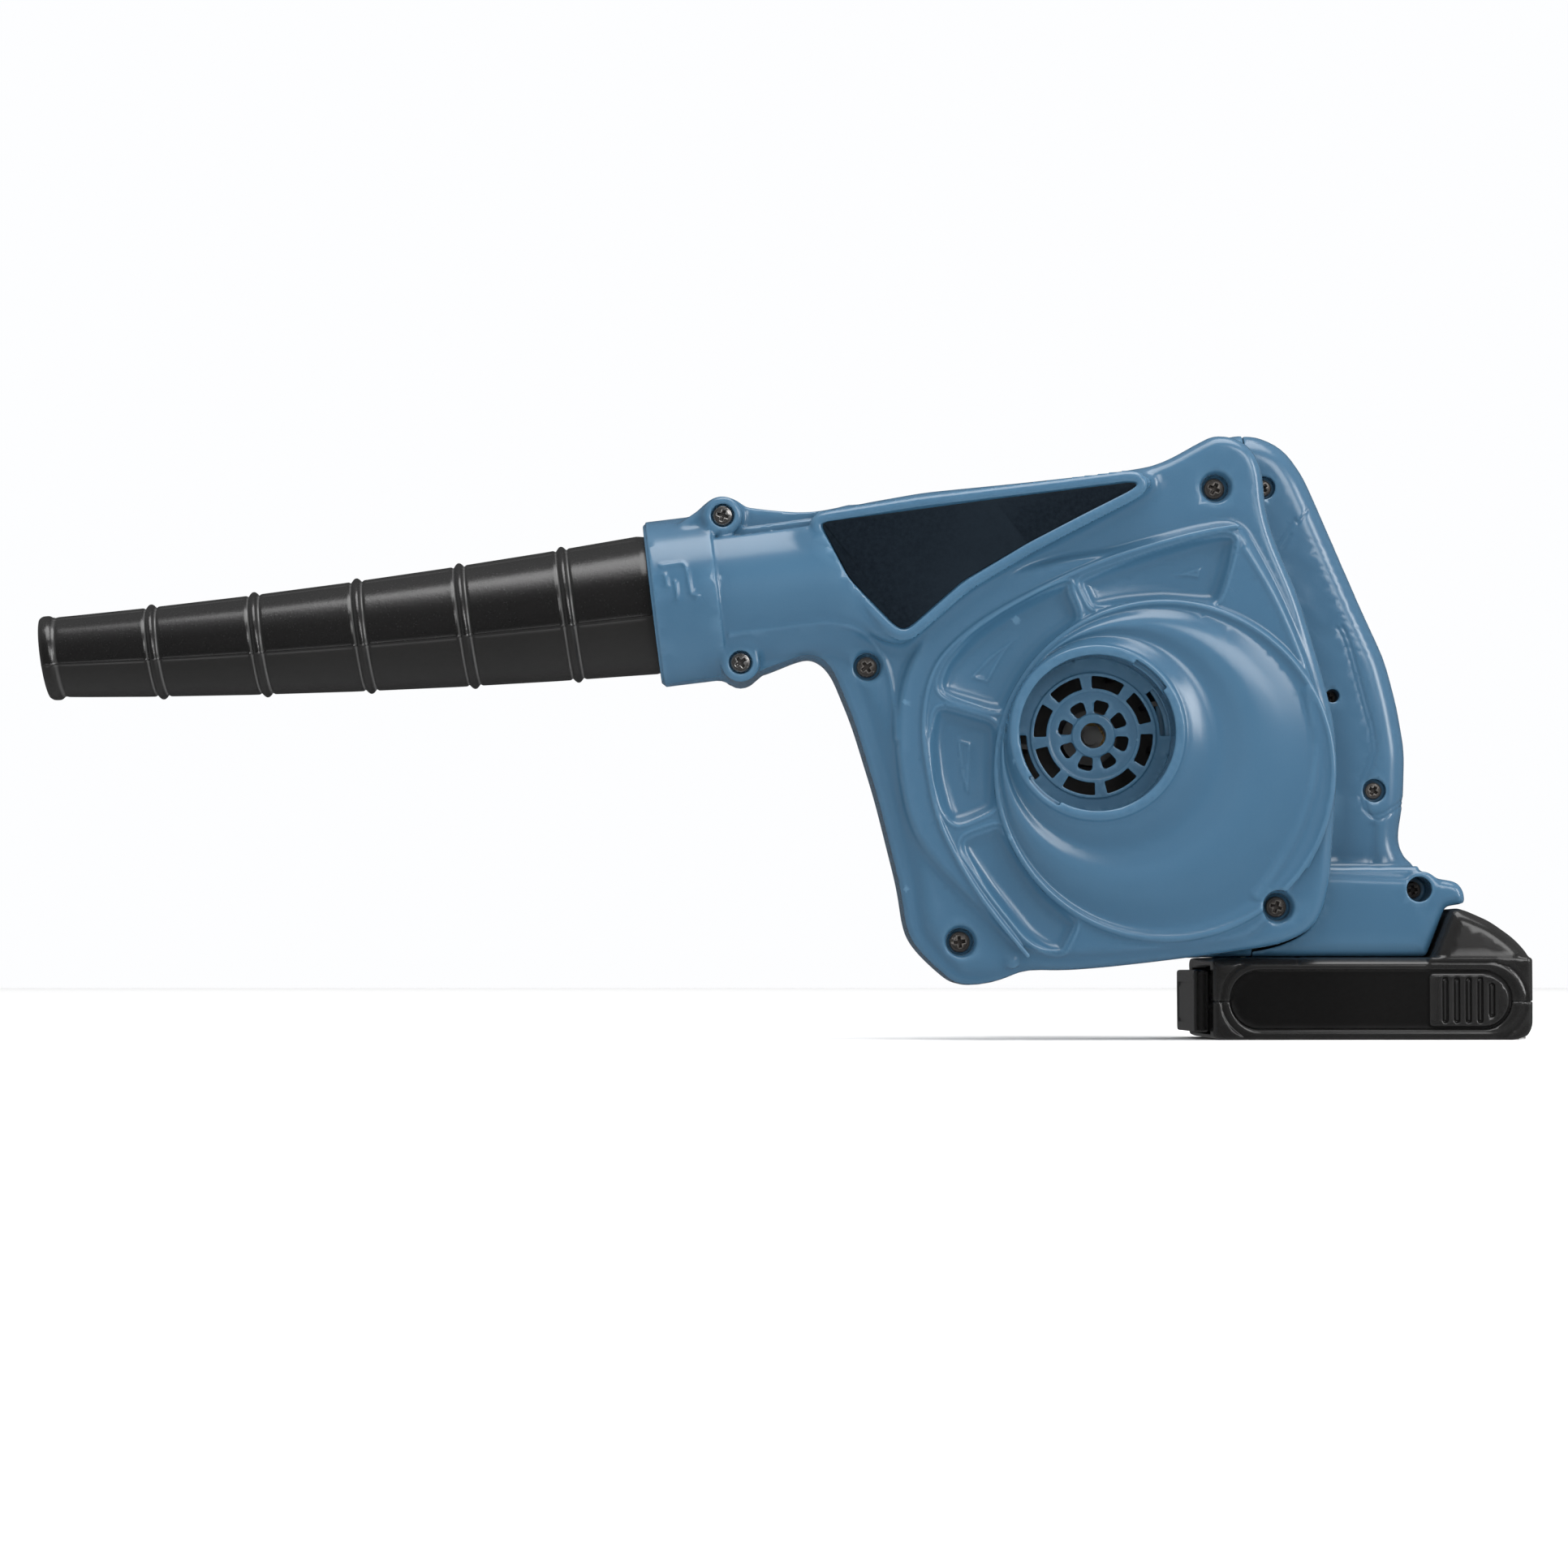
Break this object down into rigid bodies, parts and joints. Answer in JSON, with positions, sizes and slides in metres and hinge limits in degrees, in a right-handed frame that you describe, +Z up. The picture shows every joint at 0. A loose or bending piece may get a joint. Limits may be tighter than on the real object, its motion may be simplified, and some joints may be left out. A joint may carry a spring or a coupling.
{
  "type": "leaf blower",
  "caption": "Cordless leaf blower with side intake volute, pistol handle, tapered twist-off nozzle and slide-on battery it stands on.",
  "frame": {"origin": "middle of the battery's bottom face, on the ground the blower stands on", "axes": "+X from the nozzle towards the back of the battery, +Y away from the intake side, +Z up"},
  "size_m": [0.4848, 0.119, 0.1984],
  "materials": {
    "blue_shell": "glossy with fine orange peel",
    "black_shell": "satin, fine leather grain",
    "label": "matte printed foil",
    "nylon": "moulded",
    "steel": "bright",
    "dark_screw": "black phosphate",
    "nickel_screw": "nickel plated",
    "brass": "plain",
    "magnet": "ferrite",
    "carbon": "graphite",
    "copper": "enamelled wire",
    "red_wire": "insulation",
    "black_wire": "insulation",
    "white_nylon": "moulded",
    "cell": "shrink sleeve over a steel can",
    "pcb": "circuit board"
  },
  "bodies": {
    "housing": {"fan_cover": "blue_shell", "main_shell": "blue_shell", "handle_shell_left": "blue_shell", "side_label": "label", "rating_plate": "label", "intake_grille": "blue_shell", "motor_can": "steel", "motor_magnets": "magnet", "motor_end_bell": "nylon", "motor_brushes": "carbon", "brush_springs": "steel", "front_bearing": "steel", "rear_bearing": "steel", "motor_terminals": "brass", "motor_screws": "steel", "trigger_spring": "steel", "switch_body": "nylon", "red_wires": "red_wire", "black_wires": "black_wire", "terminal_block": "nylon", "terminal_blades": "brass", "cover_screws": "dark_screw", "collar_screws": "nickel_screw", "handle_screws": "dark_screw"},
    "rotor": {"impeller": "nylon", "impeller_bush": "brass", "impeller_nut": "steel", "armature_core": "steel", "windings": "copper", "commutator": "copper", "motor_shaft": "steel", "front_bearing_inner": "steel", "rear_bearing_inner": "steel"},
    "trigger": {"trigger": "nylon", "switch_plunger": "white_nylon"},
    "nozzle": {"nozzle": "black_shell"},
    "battery": {"battery_top_case": "black_shell", "battery_bottom_case": "black_shell", "battery_cells": "cell", "cell_holder": "nylon", "nickel_strips": "steel", "battery_pcb": "pcb", "battery_contacts": "brass", "battery_case_screws": "dark_screw", "latch_springs": "steel"},
    "latch": {"latch_button": "black_shell"}
  },
  "joints": [
    {"name": "rotor_spin", "type": "hinge", "parent": "housing", "child": "rotor", "pos_m": [-0.0846, 0, 0.0985], "axis": [0, -1, 0], "continuous": true},
    {"name": "trigger_pull", "type": "slide", "parent": "housing", "child": "trigger", "axis": [0.9285, 0, 0.3714], "range_m": [0, 0.006], "stiffness_N_per_m": 300, "springref_m": -0.004, "deforming": ["trigger_spring"]},
    {"name": "battery_slide", "type": "slide", "parent": "housing", "child": "battery", "axis": [1, 0, 0], "range_m": [0, 0.095]},
    {"name": "battery_latch", "type": "slide", "parent": "battery", "child": "latch", "axis": [1, 0, 0], "range_m": [0, 0.0035], "stiffness_N_per_m": 400, "springref_m": -0.003, "deforming": ["latch_springs"]},
    {"name": "nozzle_twist", "type": "hinge", "parent": "housing", "child": "nozzle", "pos_m": [-0.2275, -0.034, 0.1413], "axis": [-0.9925, 0, -0.1219], "range_deg": [0, 25]}
  ]
}
